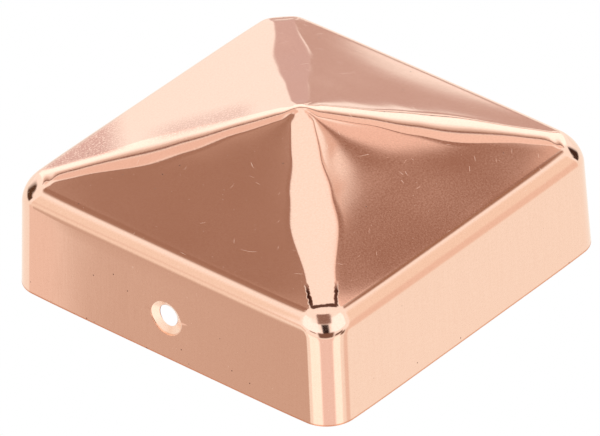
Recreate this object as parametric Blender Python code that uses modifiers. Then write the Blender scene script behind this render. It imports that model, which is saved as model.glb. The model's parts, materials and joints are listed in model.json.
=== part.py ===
"""Fence post cap: one square of copper sheet, pressed into a low pyramid roof with four skirt walls.

The cap stands on its rim. The origin is the centre of the rim plane, +Z points to the apex, and the
walls that face -X and +X each have one countersunk screw hole. The outer skin is lofted through
rounded squares, thickened inwards to the sheet's thickness, trimmed flat at the rim and drilled.
"""

import math

import bmesh
import bpy

# Driving dimensions, in metres.
WIDTH = 0.093               # outside, across the rim
HEIGHT = 0.0401             # rim plane to apex
SHEET = 0.001               # thickness of the copper
EAVE_HEIGHT = 0.0256        # where the planes of a wall and a roof face would meet
WALL_LEAN = 0.001           # how far a wall leans in between the rim and that height
EAVE_RADIUS = 0.0035        # bend from wall to roof
CORNER_RADIUS = 0.0073      # vertical corners, in plan
RIDGE_RADIUS = 0.0085       # ridges of the roof, in plan, at the eave
RIDGE_SHARE = 0.6           # near the apex a ridge's radius is this share of the half width
TRIM_ALLOWANCE = 0.002      # the skirt is drawn this much too deep, then trimmed

# The screw hole in each side wall, drilled level.
HOLE_DIAMETER = 0.0050
SINK_DIAMETER = 0.0087      # countersink, where it meets the outer face
SINK_DEPTH = 0.0009
HOLE_HEIGHT = 0.0106        # hole axis above the rim
DRILL_TRAVEL = 0.004        # how far the drill passes the outer face, both ways

# Fineness of the faceted surface.
ARC_STEPS = 8               # around each corner, in plan
EAVE_STEPS = 6              # over the eave bend
HOLE_STEPS = 32
ROOF_RINGS = (0.3, 0.6, 0.8, 0.93, 0.985)   # shares of the way from the eave to the apex

COPPER = {"base_color": (0.93, 0.55, 0.40), "metallic": 1.0, "roughness": 0.2}


def wall_angle():
    """Angle of a wall from the vertical."""
    return math.atan2(WALL_LEAN, EAVE_HEIGHT)


def roof_angle():
    """Angle of a roof face from the horizontal."""
    return math.atan2(HEIGHT - EAVE_HEIGHT, WIDTH / 2 - WALL_LEAN)


def wall_half_width(height):
    """Distance from the centre to the outer face of a wall at that height."""
    return WIDTH / 2 - height * math.tan(wall_angle())


def ridge_radius(half_width):
    """Radius of a ridge, in plan, where the roof has that half width."""
    return min(RIDGE_RADIUS, RIDGE_SHARE * half_width)


def eave_sections():
    """Sections over the eave bend, which is an arc tangent to the wall and to the roof."""
    turn = math.pi / 2 - roof_angle() - wall_angle()
    reach = EAVE_RADIUS * math.tan(turn / 2)
    start = EAVE_HEIGHT - reach * math.cos(wall_angle())
    centre_x = wall_half_width(start) - EAVE_RADIUS * math.cos(wall_angle())
    centre_z = start - EAVE_RADIUS * math.sin(wall_angle())
    for step in range(EAVE_STEPS + 1):
        share = step / EAVE_STEPS
        angle = wall_angle() + turn * share
        half_width = centre_x + EAVE_RADIUS * math.cos(angle)
        radius = CORNER_RADIUS + (RIDGE_RADIUS - CORNER_RADIUS) * share
        yield half_width, centre_z + EAVE_RADIUS * math.sin(angle), radius


def sections():
    """Rounded squares from below the rim up to the apex, as (half width, height, corner radius)."""
    below = -TRIM_ALLOWANCE
    rings = [(wall_half_width(below), below, CORNER_RADIUS)]
    rings += eave_sections()
    eave_half_width = rings[-1][0]
    for share in ROOF_RINGS:
        half_width = eave_half_width * (1 - share)
        height = HEIGHT - half_width * math.tan(roof_angle())
        rings.append((half_width, height, ridge_radius(half_width)))
    return rings


def rounded_square(half_width, height, radius):
    """Points of a level square with round corners, anticlockwise."""
    centre = half_width - radius
    points = []
    for corner in range(4):
        toward = math.radians(45 + 90 * corner)
        corner_x = centre * math.copysign(1, math.cos(toward))
        corner_y = centre * math.copysign(1, math.sin(toward))
        for step in range(ARC_STEPS + 1):
            angle = toward + math.radians(90) * (step / ARC_STEPS - 0.5)
            x = corner_x + radius * math.cos(angle)
            y = corner_y + radius * math.sin(angle)
            points.append((x, y, height))
    return points


def add_ring(mesh, points):
    """Adds a closed ring of edges through the points."""
    corners = [mesh.verts.new(point) for point in points]
    return [mesh.edges.new((a, b)) for a, b in zip(corners, corners[1:] + corners[:1])]


def make_skin(name):
    """The outer surface of the cap, open below the rim."""
    skin = bmesh.new()
    rings = [add_ring(skin, rounded_square(*section)) for section in sections()]
    for lower, upper in zip(rings, rings[1:]):
        bmesh.ops.bridge_loops(skin, edges=lower + upper)
    top = bmesh.ops.contextual_create(skin, geom=rings[-1])["faces"]
    tip = bmesh.ops.poke(skin, faces=top)["verts"][0]
    tip.co.z = HEIGHT
    bmesh.ops.recalc_face_normals(skin, faces=skin.faces)
    if tip.normal.z < 0:
        bmesh.ops.reverse_faces(skin, faces=skin.faces)
    mesh = bpy.data.meshes.new(name)
    skin.to_mesh(mesh)
    skin.free()
    return mesh


def make_material(name, base_color, metallic, roughness):
    material = bpy.data.materials.new(name)
    material.use_nodes = True
    shader = material.node_tree.nodes["Principled BSDF"]
    shader.inputs["Base Color"].default_value = (*base_color, 1.0)
    shader.inputs["Metallic"].default_value = metallic
    shader.inputs["Roughness"].default_value = roughness
    material.diffuse_color = (*base_color, 1.0)
    return material


def make_collection(name):
    collection = bpy.data.collections.new(name)
    bpy.context.scene.collection.children.link(collection)
    return collection


def hide_cutter(cutter):
    cutter.hide_render = True
    cutter.display_type = "WIRE"


def make_trim_block(collection):
    """The block that takes the rough edge off below the rim plane."""
    depth = 4 * TRIM_ALLOWANCE
    block = bmesh.new()
    bmesh.ops.create_cube(block, size=1.0)
    bmesh.ops.scale(block, vec=(2 * WIDTH, 2 * WIDTH, depth), verts=block.verts)
    mesh = bpy.data.meshes.new("trim_block")
    block.to_mesh(mesh)
    block.free()
    cutter = bpy.data.objects.new("trim_block", mesh)
    cutter.location = (0, 0, -depth / 2)
    collection.objects.link(cutter)
    hide_cutter(cutter)
    return cutter


def make_drill(name, side, collection):
    """A stepped drill that comes in level from one side: +Z of its profile points out of the wall."""
    slope = (SINK_DIAMETER - HOLE_DIAMETER) / 2 / SINK_DEPTH
    outer_radius = SINK_DIAMETER / 2 + DRILL_TRAVEL * slope
    profile = [
        (0, DRILL_TRAVEL),
        (outer_radius, DRILL_TRAVEL),
        (HOLE_DIAMETER / 2, -SINK_DEPTH),
        (HOLE_DIAMETER / 2, -DRILL_TRAVEL),
        (0, -DRILL_TRAVEL),
    ]
    mesh = bpy.data.meshes.new(name)
    edges = [(i, i + 1) for i in range(len(profile) - 1)]
    mesh.from_pydata([(radius, 0, height) for radius, height in profile], edges, [])
    cutter = bpy.data.objects.new(name, mesh)
    cutter.location = (side * wall_half_width(HOLE_HEIGHT), 0, HOLE_HEIGHT)
    cutter.rotation_euler = (0, side * math.radians(90), 0)
    collection.objects.link(cutter)
    turn = cutter.modifiers.new("turn", "SCREW")
    turn.steps = turn.render_steps = HOLE_STEPS
    turn.use_merge_vertices = True
    turn.merge_threshold = 0.00001
    hide_cutter(cutter)
    return cutter


def make_cap_shell(collection, cutters):
    """The pressed copper sheet, which is the whole cap."""
    mesh = make_skin("cap_shell")
    mesh.materials.append(make_material("copper", **COPPER))
    shell = bpy.data.objects.new("cap_shell", mesh)
    collection.objects.link(shell)
    thicken = shell.modifiers.new("sheet", "SOLIDIFY")
    thicken.thickness = SHEET
    thicken.offset = -1
    thicken.use_even_offset = True
    for cutter in cutters:
        cut = shell.modifiers.new(cutter.name, "BOOLEAN")
        cut.operation = "DIFFERENCE"
        cut.object = cutter
    mesh.shade_smooth()
    mesh.set_sharp_from_angle(angle=math.radians(30))
    return shell


def main():
    for thing in list(bpy.data.objects):
        bpy.data.objects.remove(thing)
    cutters = make_collection("cutters")
    trim_block = make_trim_block(cutters)
    drills = [make_drill("left_drill", -1, cutters), make_drill("right_drill", 1, cutters)]
    make_cap_shell(make_collection("fence_post_cap"), [trim_block, *drills])


main()
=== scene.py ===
"""Looks of the fence post cap: one bright pressed copper sheet on a white light table."""

import json
import math

import bmesh
import bpy
from mathutils import Matrix, Vector

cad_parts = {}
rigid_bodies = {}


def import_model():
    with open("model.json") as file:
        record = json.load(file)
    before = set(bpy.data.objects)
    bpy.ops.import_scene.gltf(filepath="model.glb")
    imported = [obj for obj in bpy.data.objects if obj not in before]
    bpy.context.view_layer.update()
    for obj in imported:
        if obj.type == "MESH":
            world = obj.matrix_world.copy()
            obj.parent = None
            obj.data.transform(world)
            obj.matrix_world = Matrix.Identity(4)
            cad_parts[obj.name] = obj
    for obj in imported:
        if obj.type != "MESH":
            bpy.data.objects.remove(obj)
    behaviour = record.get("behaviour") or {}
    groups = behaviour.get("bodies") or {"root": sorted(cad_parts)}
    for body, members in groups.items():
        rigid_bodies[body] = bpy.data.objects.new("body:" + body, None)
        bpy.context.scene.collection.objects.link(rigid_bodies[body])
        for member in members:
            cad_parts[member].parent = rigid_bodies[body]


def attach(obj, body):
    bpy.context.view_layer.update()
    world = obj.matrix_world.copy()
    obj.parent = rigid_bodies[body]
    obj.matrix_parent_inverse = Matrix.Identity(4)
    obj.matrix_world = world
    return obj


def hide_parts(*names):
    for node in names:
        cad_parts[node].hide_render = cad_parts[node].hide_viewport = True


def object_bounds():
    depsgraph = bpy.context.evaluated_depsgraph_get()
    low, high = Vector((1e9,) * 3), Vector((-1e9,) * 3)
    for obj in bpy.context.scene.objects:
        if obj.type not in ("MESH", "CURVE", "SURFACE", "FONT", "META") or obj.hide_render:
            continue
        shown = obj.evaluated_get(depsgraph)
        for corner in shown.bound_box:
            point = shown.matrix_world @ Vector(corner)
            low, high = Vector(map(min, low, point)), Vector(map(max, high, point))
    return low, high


NODE = "cap_shell"
MM = 0.001                  # in metres. Lengths in this script are in millimetres, unless it says otherwise

# The cap. Its width and height come from the frame.
SHEET = 1.0
EAVE_HEIGHT = 25.6          # where the planes of a wall and a roof face would meet
WALL_LEAN = 1.0             # how far a wall leans in between the rim and that height
EAVE_RADIUS = 5.0           # bend from wall to roof, along a side
BALL_RADIUS = 6.6           # the same bend over a corner
CORNER_RADIUS = 7.3         # vertical corners, in plan
TIP_RADIUS = 2.4            # the dome at the apex, in plan
TIP_ROUNDNESS = 0.85        # largest plan radius over half width, near the apex
WALL_BOW = 0.22             # how far a wall's ends curve in, before the corner
BOW_POWER = 6               # a high power keeps that curve near the ends
BOW_END = 0.12              # share of the way to the apex where the roof has lost that curve
RIM_BREAK = 0.12            # bevel on the trimmed rim

# Plan radius of the corners, as (share of the way, radius): round the eave bend, then from it to the apex.
EAVE_RADII = ((0.0, CORNER_RADIUS), (0.5, 7.6), (1.0, 5.6))
RIDGE_RADII = (
    (0.0, 5.6), (0.05, 4.3), (0.13, 4.7), (0.37, 7.7), (0.52, 6.7), (0.72, 4.6), (0.93, 3.6), (1.0, 3.4),
)

# Dish of each roof face, as (depth, power), in the order +Y, -X, -Y, +X. A high power keeps it near the apex.
FACE_DISHES = ((1.0, 1), (0.7, 1), (3.0, 2), (1.5, 1))

# The drilled and countersunk screw holes.
HOLE_RADIUS = 2.5
SINK_RADIUS = 4.35
SINK_DEPTH = 0.9
SINK_LIP = 0.14             # the burnished lip lies this much inside and outside the countersink's edge
HOLE_HEIGHT = 10.6
DRILL_TRAVEL = 4.0

# Fineness of the mesh.
CORNER_STEPS = 24
SIDE_STEPS = 24
WALL_STEPS = 8
EAVE_STEPS = 20
ROOF_STEPS = 64
HOLE_STEPS = 96
SHARP_ANGLE = 18            # edges over this many degrees are shaded sharp

# Copper, as linear colours.
BRIGHT = (0.955, 0.635, 0.505)
DULL = (0.80, 0.46, 0.34)
SCUFF = (0.98, 0.80, 0.70)
TARNISH = (0.11, 0.04, 0.025)
# The next colour is a painted dark reflection, mottled over the orange peel.
PEEL_REFLECTION = (0.5, 0.2, 0.15)
# The next colour darkens a band along the bottom of the outside.
BOTTOM_BAND_COLOR = (0.72, 0.30, 0.16)
TORN = (0.62, 0.27, 0.15)
FRESH = (0.97, 0.68, 0.54)
# The next colour is painted shade, for the inner wall of the screw holes.
HOLE_WALL_SHADE = (0.35, 0.12, 0.07)

# The pinched line across the front ridge, and a stroke up the ridge from each of its ends. A pair of
# distances says where a mark has ended, and where it is full.
CREASE_AT = 56.0            # distance from the apex, in plan
CREASE_HALF = 2.6           # half the length of the line
CREASE_WANDER = 0.4         # how far the line and the strokes stray
LINE_EDGE = (0.6, 0.3)      # across the line
STROKE_EDGE = (0.5, 0.2)    # across a stroke
STROKE_LENGTH = (7, 4)      # along a stroke
STROKE_SPREAD = 0.1         # how fast the strokes part on their way up

# The orange peel on the back face, beside the ridge toward -X and +Y. A zone is its strength, then the edges
# that bound it, each as a coordinate along a diagonal, where the peel has ended and where it is full.
# The zones also carry a mottled painted dark reflection over the peel.
PEEL_ZONES = (
    (1.0, (("across", -36, -44), ("across", -60, -54), ("front", -2, -4))),
    (0.5, (("across", -8, -14), ("across", -36, -26), ("front", -1, -4), ("front", -14, -6))),
)
PEEL_RISE = 1.5             # the peel fades in over this height above the eave

# Fine scratches, in layers of one direction each: that direction in degrees, the length and width of the
# cells, and the radius of a scratch as a share of its cell.
SCRATCH_LAYERS = (
    (20, 90, 0.9, 0.05), (48, 30, 0.5, 0.05), (75, 60, 0.7, 0.05), (92, 20, 0.5, 0.06),
    (112, 100, 0.9, 0.05), (139, 30, 0.5, 0.05), (165, 70, 0.8, 0.05), (5, 25, 0.5, 0.05),
)
SCRATCH_CELL_HEIGHT = 6.0
SCRATCH_SHARE = 0.3         # share of the cells that have a scratch
SCRATCH_BEND = 2.5          # how far a scratch is bent aside
SCRATCH_BEND_SIZE = 12.0    # size of those bends

SPECK_CORE = 0.4            # share of a speck's or a scratch's radius that is at full strength
RING_PITCH = 0.22           # spacing of the rings that the drill leaves in a countersink

# The camera, with angles in degrees. The azimuth is from -Y towards +X.
CAMERA_AZIMUTH = -48.27
CAMERA_ELEVATION = 34.5
CAMERA_ROLL = -2.4
CAMERA_TARGET = (-8.74, -6.34, 18.6)
CAMERA_DISTANCE = 1872.6
CAMERA_LENS = 519.7
CAMERA_REACH = 50000        # things farther away than this are cut off

TABLE_REACH = 4000          # from its centre to each edge
TABLE_GAP = 0.2             # the table is this much below the rim

# The studio that the copper mirrors: a white tent with brighter and darker cards. A card is its azimuth (from
# +X towards +Y), elevation, half width, half height, softness across and softness up, in degrees, then its
# linear colour. Later cards lie on top of earlier ones.
TENT = (1.12, 1.15, 1.13)
STUDIO_CARDS = {
    "table": (0, -50, 181, 49, 2, 2, (1.02, 1.04, 0.98)),
    "table_left": (149, -35, 11.5, 24, 1, 5, (0.66, 0.53, 0.45)),
    "table_end": (129.5, -35, 8, 24, 1.2, 5, (0.92, 0.79, 0.71)),
    "table_corner": (-138, -35, 50, 28, 3, 3, (1.35, 1.35, 1.3)),
    "table_near": (-134, -35, 21, 28, 4, 3, (0.94, 0.82, 0.78)),
    "table_strip": (-67, -35, 8, 28, 4, 3, (0.9, 0.78, 0.70)),
    "left_sheet": (137, 10, 10.5, 24, 2, 8, (1.0, 0.94, 0.84)),
    "left_lip": (148, 3, 22, 4, 3, 4, (0.93, 0.83, 0.74)),
    "right_sheet": (-46, 10, 12, 30, 5, 8, (1.0, 0.93, 0.82)),
    "right_lip": (-47, -9, 12, 13, 5, 6, (0.93, 0.78, 0.68)),
    "left_flag_far": (106, 54, 16, 7, 9, 5, (0.42, 0.28, 0.21)),
    "left_margin": (61, 45, 9, 9, 2, 1.5, (0.93, 0.75, 0.67)),
    "left_flag": (88, 57, 17.2, 7, 0.8, 2, (0.39, 0.245, 0.185)),
    "left_flag_low": (88, 53.6, 19.5, 2.2, 1, 1, (0.39, 0.245, 0.185)),
    "left_shine_low": (78, 52, 3.5, 2.2, 1.5, 1, (0.49, 0.345, 0.28)),
    "left_shine_high": (78, 59.5, 4.2, 3.6, 1.5, 0.7, (0.52, 0.37, 0.3)),
    "right_flag_far": (-13, 50, 13, 4, 7, 3, (0.37, 0.22, 0.15)),
    "right_margin": (18, 44.5, 8, 9, 2, 1.5, (1.0, 0.83, 0.75)),
    "right_shine": (4, 55, 8.6, 3, 0.8, 1, (0.96, 0.76, 0.68)),
    "right_flag": (4, 50.75, 8.6, 1.55, 0.8, 0.6, (0.335, 0.19, 0.14)),
    "right_glow": (6, 48.2, 2.6, 1.7, 0.6, 0.6, (0.82, 0.62, 0.53)),
    "bead": (40, 19, 30, 7, 2, 2, (1.5, 1.5, 1.5)),
    "bead_edge": (40, 31, 30, 2, 2, 2, (0.75, 0.62, 0.55)),
    "rail": (40, 33.5, 34, 1.3, 0.7, 1, (0.25, 0.13, 0.09)),
    "sill": (30, 12, 5, 0.9, 2, 0.8, (0.25, 0.15, 0.1)),
    "horizon": (36, 3.6, 7, 2.2, 1, 0.3, (0.62, 0.465, 0.42)),
    "back_door": (41.5, 4.8, 5.5, 7.0, 0.7, 0.7, (0.7, 0.56, 0.54)),
    "left_room": (95, 5, 16, 8, 3, 3, (0.1, 0.055, 0.03)),
    "right_room": (-9, 5, 15, 9, 3, 3, (0.06, 0.03, 0.02)),
    "left_window": (-172, 38, 31, 18, 6, 3, (1.35, 1.45, 1.5)),
    "right_window": (-99, 40, 23, 20, 3, 3, (1.35, 1.45, 1.5)),
    "lamp_arm": (-132, 63, 12, 9, 2, 2, (0.3, 0.2, 0.165)),
    "photographer": (-132, 33, 5.5, 20, 1, 2, (0.03, 0.015, 0.012)),
    "tripod": (-133, 11, 16, 12, 3, 4, (0.22, 0.13, 0.095)),
    "left_edge": (-163, 18, 10, 2.5, 3, 3, (0.3, 0.2, 0.15)),
    "right_edge": (-101, 4, 12, 5, 4, 3, (0.2, 0.12, 0.09)),
    "right_foot": (-86, -8, 8, 7, 4, 4, (0.2, 0.12, 0.09)),
}


def wall_angle():
    """Angle of a wall from the vertical."""
    return math.atan2(WALL_LEAN, EAVE_HEIGHT)


def wall_half_width(height):
    """Distance from the centre to the outer face of a wall at that height."""
    return WIDTH / 2 - height * math.tan(wall_angle())


def roof_angle():
    """Angle of a roof face from the horizontal. The tip is a dome, lower than the faces' own apex."""
    return math.atan2(HEIGHT - EAVE_HEIGHT, WIDTH / 2 - WALL_LEAN - TIP_RADIUS / 2)


def roof_height(half_width):
    """Height of the roof where its level section has that half width."""
    if half_width < TIP_RADIUS:
        drop = half_width ** 2 / (2 * TIP_RADIUS)
    else:
        drop = half_width - TIP_RADIUS / 2
    return HEIGHT - drop * math.tan(roof_angle())


def smooth_table(table, at):
    """Reads a smooth curve through (place, value) pairs."""
    for (a, low), (b, high) in zip(table, table[1:]):
        if at <= b:
            share = (at - a) / (b - a)
            share = share * share * (3 - 2 * share)
            return low + (high - low) * share
    return table[-1][1]


def eave_turn():
    """Angle that the sheet turns through from a wall to the roof."""
    return math.pi / 2 - roof_angle() - wall_angle()


def eave_start(radius):
    """Height where an eave bend of that radius leaves the wall."""
    return EAVE_HEIGHT - radius * math.tan(eave_turn() / 2) * math.cos(wall_angle())


def eave_section(share, radius):
    """(Half width, height) at a share of the way round an eave bend of that radius."""
    lean, start = wall_angle(), eave_start(radius)
    angle = lean + eave_turn() * share
    half_width = wall_half_width(start) + radius * (math.cos(angle) - math.cos(lean))
    return half_width, start + radius * (math.sin(angle) - math.sin(lean))


def section(kind, share, over_corner):
    """(Half width, height, plan radius) of a level section. over_corner is 0 along a side, 1 mid-corner."""
    radius = EAVE_RADIUS + (BALL_RADIUS - EAVE_RADIUS) * over_corner
    if kind == "wall":
        height = eave_start(radius) * share
        return wall_half_width(height), height, CORNER_RADIUS
    if kind == "eave":
        return *eave_section(share, radius), smooth_table(EAVE_RADII, share)
    half_width = eave_section(1, radius)[0] * (1 - share)
    ridge_radius = min(smooth_table(RIDGE_RADII, share), TIP_ROUNDNESS * half_width)
    return half_width, roof_height(half_width), ridge_radius


def corner_points(kind, share, bow):
    """The rounded corner between the +X and +Y sides of a level section."""
    for step in range(CORNER_STEPS):
        angle = math.radians(90) * step / CORNER_STEPS
        half_width, height, radius = section(kind, share, math.sin(2 * angle) ** 2)
        straight = half_width - bow - radius
        yield straight + radius * math.cos(angle), straight + radius * math.sin(angle), height


def side_points(kind, share, bow, depth, power):
    """The +Y side of a level section, from its corner with the +X side: bowed, and dished on the roof."""
    half_width, height, radius = section(kind, share, 0)
    straight = half_width - bow - radius
    sink = depth * share ** power * straight / (WIDTH / 2) if kind == "roof" else 0
    for step in range(SIDE_STEPS):
        place = 1 - 2 * step / SIDE_STEPS
        yield straight * place, half_width - bow * place ** BOW_POWER, height - sink * (1 - place * place)


def section_points(kind, share):
    """Points of one level section, anticlockwise: four round corners, and the sides between them."""
    bow = WALL_BOW * max(0, 1 - share / BOW_END) ** 2 if kind == "roof" else WALL_BOW
    points = []
    for quarter, dish in enumerate(FACE_DISHES):
        turn = Matrix.Rotation(math.radians(90 * quarter), 3, "Z")
        outline = [*corner_points(kind, share, bow), *side_points(kind, share, bow, *dish)]
        points += [turn @ Vector(point) for point in outline]
    return points


def make_skin():
    """The outer skin, closed at the top and open at the rim, in millimetres."""
    rows = [("wall", step / WALL_STEPS) for step in range(WALL_STEPS)]
    rows += [("eave", step / EAVE_STEPS) for step in range(EAVE_STEPS)]
    rows += [("roof", step / ROOF_STEPS) for step in range(ROOF_STEPS)]
    skin = bmesh.new()
    rings = [[skin.verts.new(point) for point in section_points(*row)] for row in rows]
    for low, high in zip(rings, rings[1:]):
        for i, corner in enumerate(low):
            after = (i + 1) % len(low)
            skin.faces.new((corner, low[after], high[after], high[i]))
    tip = skin.verts.new((0, 0, HEIGHT))
    for i, corner in enumerate(rings[-1]):
        skin.faces.new((corner, rings[-1][(i + 1) % len(rings[-1])], tip))
    return skin


def to_object(shape, name):
    """Turns a bmesh in millimetres into an object in metres."""
    bmesh.ops.scale(shape, vec=(MM, MM, MM), verts=shape.verts)
    mesh = bpy.data.meshes.new(name)
    shape.to_mesh(mesh)
    shape.free()
    piece = bpy.data.objects.new(name, mesh)
    bpy.context.scene.collection.objects.link(piece)
    return piece


def bake_modifiers(piece):
    """Replaces a piece's mesh with what its modifiers make of it, and removes them."""
    bpy.context.view_layer.update()
    graph = bpy.context.evaluated_depsgraph_get()
    piece.data = bpy.data.meshes.new_from_object(piece.evaluated_get(graph))
    piece.modifiers.clear()


def make_drill(side, material):
    """A drill with a countersink, square to the wall. +Z of its profile points out of the wall."""
    slope = (SINK_RADIUS - HOLE_RADIUS) / SINK_DEPTH
    profile = [
        (0, DRILL_TRAVEL),
        (SINK_RADIUS + SINK_LIP, DRILL_TRAVEL),
        (SINK_RADIUS + SINK_LIP, 0),
        (SINK_RADIUS - SINK_LIP, -SINK_LIP / slope / 2),
        (HOLE_RADIUS, -SINK_DEPTH),
        (HOLE_RADIUS, -DRILL_TRAVEL),
        (0, -DRILL_TRAVEL),
    ]
    shape = bmesh.new()
    line = [shape.verts.new((radius, 0, height)) for radius, height in profile]
    for a, b in zip(line, line[1:]):
        shape.edges.new((a, b))
    drill = to_object(shape, "drill")
    drill.data.materials.append(material)
    turn = drill.modifiers.new("turn", "SCREW")
    turn.steps = turn.render_steps = HOLE_STEPS
    turn.use_merge_vertices = True
    turn.merge_threshold = 0.00001
    drill.location = (side * wall_half_width(HOLE_HEIGHT) * MM, 0, HOLE_HEIGHT * MM)
    drill.rotation_euler = (0, side * math.radians(90 + math.degrees(wall_angle())), 0)
    return drill


def make_cap():
    """The whole cap: skin, thickness, level and broken rim, drilled walls."""
    cap = to_object(make_skin(), "pressed_cap")
    for material in (make_bright_copper(), make_dull_copper(), make_cut_copper()):
        cap.data.materials.append(material)
    thicken = cap.modifiers.new("sheet", "SOLIDIFY")
    thicken.thickness = SHEET * MM
    thicken.offset = -1
    thicken.use_even_offset = True
    thicken.material_offset = 1
    thicken.material_offset_rim = 2
    bake_modifiers(cap)
    for corner in cap.data.vertices:
        corner.co.z = max(corner.co.z, 0)
    broken = cap.modifiers.new("rim", "BEVEL")
    broken.width = RIM_BREAK * MM
    broken.segments = 2
    broken.angle_limit = math.radians(60)
    bake_modifiers(cap)
    drills = [make_drill(side, make_machined_copper(side)) for side in (-1, 1)]
    for drill in drills:
        cut = cap.modifiers.new("hole", "BOOLEAN")
        cut.object = drill
        cut.material_mode = "TRANSFER"
    bake_modifiers(cap)
    for drill in drills:
        bpy.data.objects.remove(drill)
    cap.data.shade_smooth()
    cap.data.set_sharp_from_angle(angle=math.radians(SHARP_ANGLE))
    return cap


def set_input(tree, socket, value):
    """Gives an input a plain value, or links another node's output to it. A plain colour is a triple."""
    if isinstance(value, bpy.types.NodeSocket):
        tree.links.new(value, socket)
    elif socket.type == "RGBA":
        socket.default_value = (*value, 1)
    else:
        socket.default_value = value


def add_node(tree, kind, inputs=None, **settings):
    """Adds a node with those inputs, by name or number, and those settings."""
    node = tree.nodes.new(kind)
    for name, value in settings.items():
        setattr(node, name, value)
    for name, value in (inputs or {}).items():
        set_input(tree, node.inputs[name], value)
    return node


def calculate(tree, operation, *values):
    """One Math node's output."""
    return add_node(tree, "ShaderNodeMath", dict(enumerate(values)), operation=operation).outputs[0]


def smooth_step(tree, value, low, high):
    """Goes smoothly from 0 at low to 1 at high."""
    inputs = {"Value": value, "From Min": low, "From Max": high}
    return add_node(tree, "ShaderNodeMapRange", inputs, interpolation_type="SMOOTHSTEP").outputs["Result"]


def mix_color(tree, factor, below, above):
    """Blends two colours, each a triple or another node's output."""
    node = add_node(tree, "ShaderNodeMix", {"Factor": factor}, data_type="RGBA")
    sockets = [socket for socket in node.inputs if socket.type == "RGBA"]
    for socket, value in zip(sockets, (below, above)):
        set_input(tree, socket, value)
    return next(socket for socket in node.outputs if socket.type == "RGBA")


def place_in_mm(tree):
    """The point's own place on the cap, in millimetres."""
    place = add_node(tree, "ShaderNodeTexCoord").outputs["Object"]
    scaled = add_node(tree, "ShaderNodeVectorMath", {0: place, "Scale": 1 / MM}, operation="SCALE")
    return scaled.outputs["Vector"]


def split(tree, place):
    """The X, Y and Z outputs of a place."""
    return add_node(tree, "ShaderNodeSeparateXYZ", {0: place}).outputs


def stretched(tree, place, size, turn=0.0):
    """Place turned about Z and divided by the size of one grain along each axis."""
    turned = add_node(tree, "ShaderNodeMapping", {"Vector": place, "Rotation": (0, 0, math.radians(turn))})
    inputs = {0: turned.outputs["Vector"], 1: tuple(1 / length for length in size)}
    return add_node(tree, "ShaderNodeVectorMath", inputs, operation="MULTIPLY").outputs["Vector"]


def noise(tree, place, size, detail=2.0):
    """Soft noise, about 0.5, with grains of that size along each axis."""
    inputs = {"Vector": stretched(tree, place, size), "Scale": 1.0, "Detail": detail}
    return add_node(tree, "ShaderNodeTexNoise", inputs).outputs["Fac"]


def specks(tree, place, size, radius, keep, turn=0.0):
    """1 in a speck in some random cells. Its radius is a share of its cell, and keep a share of the cells."""
    inputs = {"Vector": stretched(tree, place, size, turn), "Scale": 1.0}
    cells = add_node(tree, "ShaderNodeTexVoronoi", inputs)
    chosen = add_node(tree, "ShaderNodeSeparateColor", {"Color": cells.outputs["Color"]}).outputs["Red"]
    speck = smooth_step(tree, cells.outputs["Distance"], radius, radius * SPECK_CORE)
    return calculate(tree, "MULTIPLY", speck, calculate(tree, "LESS_THAN", chosen, keep))


def scratches(tree, place):
    """1 along sparse fine scratches, which run in a few different directions."""
    bends = stretched(tree, place, [SCRATCH_BEND_SIZE] * 3)
    wander = add_node(tree, "ShaderNodeTexNoise", {"Vector": bends, "Scale": 1.0}).outputs["Color"]
    inputs = {0: wander, 1: [SCRATCH_BEND] * 3, 2: place}
    bent = add_node(tree, "ShaderNodeVectorMath", inputs, operation="MULTIPLY_ADD").outputs["Vector"]
    total = 0.0
    for turn, length, width, radius in SCRATCH_LAYERS:
        layer = specks(tree, bent, (length, width, SCRATCH_CELL_HEIGHT), radius, SCRATCH_SHARE, turn)
        total = calculate(tree, "MAXIMUM", total, layer)
    return total


def diagonals(tree, place):
    """The point's plan coordinates along the diagonals: toward the front corner, and to its right."""
    apart = split(tree, place)
    front = calculate(tree, "MULTIPLY", calculate(tree, "ADD", apart["X"], apart["Y"]), -math.sqrt(0.5))
    across = calculate(tree, "MULTIPLY", calculate(tree, "SUBTRACT", apart["X"], apart["Y"]), math.sqrt(0.5))
    return front, across


def press_mark(tree, place):
    """1 on the pinched line across the front ridge above its ball, and on the strokes up from its ends."""
    along, across = diagonals(tree, place)
    aside = calculate(tree, "ABSOLUTE", across)
    ripple = noise(tree, place, (1.2, 1.2, 1.2))
    wander = calculate(tree, "MULTIPLY_ADD", ripple, 2 * CREASE_WANDER, -CREASE_WANDER)
    off_line = calculate(tree, "ADD", calculate(tree, "SUBTRACT", along, CREASE_AT), wander)
    on_line = smooth_step(tree, calculate(tree, "ABSOLUTE", off_line), *LINE_EDGE)
    ends = smooth_step(tree, aside, CREASE_HALF + 0.3, CREASE_HALF)
    on_line = calculate(tree, "MULTIPLY", on_line, ends)
    rise = calculate(tree, "SUBTRACT", CREASE_AT, along)
    middle = calculate(tree, "MULTIPLY_ADD", rise, STROKE_SPREAD, CREASE_HALF)
    off_stroke = calculate(tree, "ADD", calculate(tree, "SUBTRACT", aside, middle), wander)
    on_stroke = smooth_step(tree, calculate(tree, "ABSOLUTE", off_stroke), *STROKE_EDGE)
    for clear, full in (STROKE_LENGTH, (-0.5, 0)):
        on_stroke = calculate(tree, "MULTIPLY", on_stroke, smooth_step(tree, rise, clear, full))
    return calculate(tree, "MAXIMUM", on_line, on_stroke)


def peel_patches(tree, place):
    """1 where the press stretched the roof's sheet to an orange peel."""
    coordinates = dict(zip(("front", "across"), diagonals(tree, place)))
    patches = 0.0
    for strength, edges in PEEL_ZONES:
        zone = strength
        for axis, clear, full in edges:
            zone = calculate(tree, "MULTIPLY", zone, smooth_step(tree, coordinates[axis], clear, full))
        patches = calculate(tree, "ADD", patches, zone)
    above_eave = smooth_step(tree, split(tree, place)["Z"], EAVE_HEIGHT, EAVE_HEIGHT + PEEL_RISE)
    return calculate(tree, "MULTIPLY", patches, above_eave)


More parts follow.
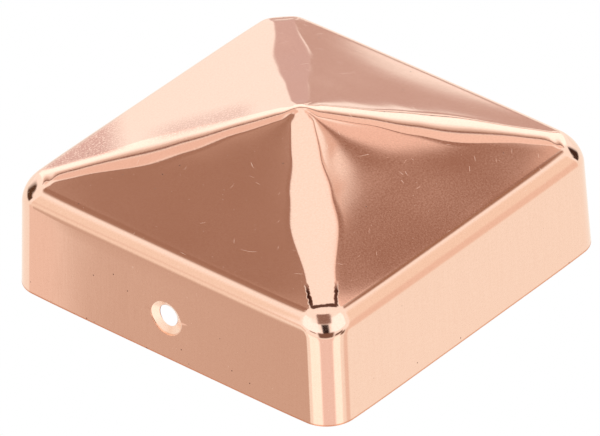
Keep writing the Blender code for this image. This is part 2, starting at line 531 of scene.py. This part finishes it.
def weighted_sum(tree, *terms, base=0.0):
    """Adds (weight, value) terms to a base."""
    total = base
    for weight, value in terms:
        total = calculate(tree, "MULTIPLY_ADD", value, weight, total)
    return total


def make_copper(name):
    """A bare copper material. Returns it, its tree, and the point's place in millimetres."""
    material = bpy.data.materials.new(name)
    material.use_nodes = True
    tree = material.node_tree
    tree.nodes["Principled BSDF"].inputs["Metallic"].default_value = 1.0
    return material, tree, place_in_mm(tree)


def finish_copper(tree, color, roughness, relief):
    """Gives the shader its colour, its roughness, and a bump from a relief in millimetres."""
    bump = add_node(tree, "ShaderNodeBump", {"Height": relief, "Distance": MM, "Strength": 1.0})
    inputs = {"Base Color": color, "Roughness": roughness, "Normal": bump.outputs["Normal"]}
    for name, value in inputs.items():
        set_input(tree, tree.nodes["Principled BSDF"].inputs[name], value)


def make_bright_copper():
    """The polished outside: soft streaks, scratches, dust, dirt, orange peel under a painted dark reflection,
    a press mark, dark crumbs and a darker band along the rim.
    """
    material, tree, place = make_copper("bright_copper")
    height = split(tree, place)["Z"]
    marks = scratches(tree, place)
    dirt = specks(tree, place, (3.6, 3.6, 3.6), 0.06, 0.25)
    dust = specks(tree, place, (1.1, 1.1, 1.1), 0.07, 0.25)
    streaks = noise(tree, place, (0.45, 0.45, 30), 3)
    clouds = noise(tree, place, (18, 18, 18))
    fine = noise(tree, place, (0.4, 0.4, 0.4))
    patches = peel_patches(tree, place)
    # Painted dark reflection: a dark colour mottled over the orange-peel patches.
    peel_reflection = calculate(tree, "MULTIPLY", patches, smooth_step(tree, fine, 0.25, 0.55))
    mark = press_mark(tree, place)
    # A darker, more orange and rougher band along the bottom half millimetre of the outside.
    bottom_band = calculate(tree, "MULTIPLY", smooth_step(tree, height, 0.5, 0.2), 0.8)
    crumbs = specks(tree, place, (1.6, 1.6, 1.6), 0.2, 0.12)
    crumbs = calculate(tree, "MULTIPLY", crumbs, smooth_step(tree, height, 0.7, 0.4))
    streaky = smooth_step(tree, streaks, 0.3, 0.7)
    grainy = smooth_step(tree, fine, 0.35, 0.65)
    color = mix_color(tree, weighted_sum(tree, (0.07, streaky), (0.16, grainy)), BRIGHT, DULL)
    color = mix_color(tree, calculate(tree, "MULTIPLY", peel_reflection, 0.85), color, PEEL_REFLECTION)
    color = mix_color(tree, calculate(tree, "MULTIPLY", marks, 0.35), color, SCUFF)
    color = mix_color(tree, calculate(tree, "MULTIPLY", dust, 0.3), color, SCUFF)
    color = mix_color(tree, calculate(tree, "MAXIMUM", dirt, mark), color, TARNISH)
    color = mix_color(tree, bottom_band, color, BOTTOM_BAND_COLOR)
    color = mix_color(tree, crumbs, color, TARNISH)
    roughness = weighted_sum(
        tree,
        (0.05, clouds), (0.03, streaky), (0.4, marks), (0.4, dust), (0.3, dirt), (0.15, patches), (0.3, bottom_band),
        base=0.04,
    )
    drawn = noise(tree, place, (70, 70, 0.3), 3)
    drawn = calculate(tree, "MULTIPLY", drawn, smooth_step(tree, height, 16, 20))
    peel = calculate(tree, "MULTIPLY", fine, weighted_sum(tree, (0.006, patches), base=0.0012))
    relief = weighted_sum(
        tree, (0.012, clouds), (0.0005, streaks), (1, peel), (-0.002, marks), (0.0015, drawn), (-0.03, mark)
    )
    finish_copper(tree, color, roughness, relief)
    return material


def make_dull_copper():
    """The inside: the same sheet, but not polished, with the marks of the press."""
    material, tree, place = make_copper("dull_copper")
    clouds = noise(tree, place, (9, 9, 9), 4)
    color = mix_color(tree, smooth_step(tree, clouds, 0.35, 0.7), BRIGHT, DULL)
    roughness = weighted_sum(tree, (0.55, clouds), base=0.05)
    relief = weighted_sum(tree, (0.02, clouds), (0.004, noise(tree, place, (0.6, 0.6, 0.6))))
    finish_copper(tree, color, roughness, relief)
    return material


def make_cut_copper():
    """The trimmed rim: torn grain across the sheet's thickness, darker and rougher."""
    material, tree, place = make_copper("cut_copper")
    grain = noise(tree, place, (0.12, 0.12, 2), 3)
    color = mix_color(tree, smooth_step(tree, grain, 0.35, 0.65), DULL, TORN)
    finish_copper(tree, color, 0.4, weighted_sum(tree, (0.03, grain)))
    return material


def make_machined_copper(side):
    """The countersink and its hole: fresh metal with the drill's rings round the hole's axis, and painted
    shade on the hole's inner wall.
    """
    material, tree, place = make_copper(f"machined_copper_{'left' if side < 0 else 'right'}")
    apart = split(tree, place)
    rise = calculate(tree, "SUBTRACT", apart["Z"], HOLE_HEIGHT)
    across = calculate(tree, "MULTIPLY", apart["Y"], apart["Y"])
    radius = calculate(tree, "SQRT", calculate(tree, "MULTIPLY_ADD", rise, rise, across))
    rings = calculate(tree, "SINE", calculate(tree, "MULTIPLY", radius, 2 * math.pi / RING_PITCH))
    grain = noise(tree, place, (0.15, 0.5, 0.5))
    # Painted shade: the inner wall of the hole is coloured dark.
    hole_wall_shade = smooth_step(tree, radius, HOLE_RADIUS + 0.12, HOLE_RADIUS + 0.02)
    color = mix_color(tree, hole_wall_shade, FRESH, HOLE_WALL_SHADE)
    finish_copper(tree, color, 0.22, weighted_sum(tree, (0.004, rings), (0.01, grain)))
    return material


def make_floor():
    """A glowing white table, so no shadow falls beside the cap or inside it. It can't be seen from below."""
    shape = bmesh.new()
    bmesh.ops.create_grid(shape, x_segments=1, y_segments=1, size=TABLE_REACH)
    floor = to_object(shape, "light_table")
    floor.location.z = -TABLE_GAP * MM
    material = bpy.data.materials.new("light_table")
    material.use_nodes = True
    tree = material.node_tree
    tree.nodes.clear()
    below = add_node(tree, "ShaderNodeNewGeometry").outputs["Backfacing"]
    inputs = {0: below, 1: add_node(tree, "ShaderNodeEmission").outputs[0]}
    inputs[2] = add_node(tree, "ShaderNodeBsdfTransparent").outputs[0]
    blend = add_node(tree, "ShaderNodeMixShader", inputs)
    add_node(tree, "ShaderNodeOutputMaterial", {"Surface": blend.outputs[0]})
    floor.data.materials.append(material)
    floor.visible_glossy = False


def make_camera():
    """A long lens that looks down on the cap's front corner, where the -X and -Y walls meet."""
    azimuth, elevation, roll = map(math.radians, (CAMERA_AZIMUTH, CAMERA_ELEVATION, CAMERA_ROLL))
    target = Vector(CAMERA_TARGET)
    back = Vector((
        math.sin(azimuth) * math.cos(elevation),
        -math.cos(azimuth) * math.cos(elevation),
        math.sin(elevation),
    ))
    level = Vector((0, 0, 1)).cross(back).normalized()
    upright = back.cross(level)
    right = level * math.cos(roll) + upright * math.sin(roll)
    up = upright * math.cos(roll) - level * math.sin(roll)
    data = bpy.data.cameras.new("camera")
    data.lens = CAMERA_LENS
    data.clip_end = CAMERA_REACH * MM
    camera = bpy.data.objects.new("camera", data)
    rotation = Matrix((right, up, back)).transposed().to_4x4()
    camera.matrix_world = Matrix.Translation((target + back * CAMERA_DISTANCE) * MM) @ rotation
    bpy.context.scene.collection.objects.link(camera)
    bpy.context.scene.camera = camera


def within(tree, angle, middle, half, softness):
    """1 where an angle in radians is within half of middle, which are in degrees, with a soft edge."""
    away = calculate(tree, "SUBTRACT", angle, math.radians(middle))
    away = calculate(tree, "ABSOLUTE", calculate(tree, "WRAP", away, math.pi, -math.pi))
    return smooth_step(tree, away, math.radians(half + softness), math.radians(half - softness))


def make_world():
    """The studio that the cap mirrors. The camera itself sees plain white."""
    world = bpy.data.worlds.new("studio")
    bpy.context.scene.world = world
    world.use_nodes = True
    tree = world.node_tree
    tree.nodes.clear()
    toward = add_node(tree, "ShaderNodeTexCoord").outputs["Generated"]
    apart = split(tree, toward)
    azimuth = calculate(tree, "ARCTAN2", apart["Y"], apart["X"])
    elevation = calculate(tree, "ARCSINE", apart["Z"])
    color = TENT
    for level, rise, half_width, half_height, soft_across, soft_up, shade in STUDIO_CARDS.values():
        across = within(tree, azimuth, level, half_width, soft_across)
        upright = within(tree, elevation, rise, half_height, soft_up)
        color = mix_color(tree, calculate(tree, "MULTIPLY", across, upright), color, shade)
    seen = add_node(tree, "ShaderNodeLightPath").outputs["Is Camera Ray"]
    color = mix_color(tree, seen, color, (1, 1, 1))
    background = add_node(tree, "ShaderNodeBackground", {"Color": color})
    add_node(tree, "ShaderNodeOutputWorld", {"Surface": background.outputs[0]})


for thing in list(bpy.data.objects):
    bpy.data.objects.remove(thing)
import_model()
cad_low, cad_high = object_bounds()
WIDTH = (cad_high.x - cad_low.x) / MM
HEIGHT = (cad_high.z - cad_low.z) / MM

bpy.context.scene.view_settings.view_transform = "Standard"
make_camera()
make_world()
make_floor()
cap = make_cap()
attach(cap, "root")
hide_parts(NODE)
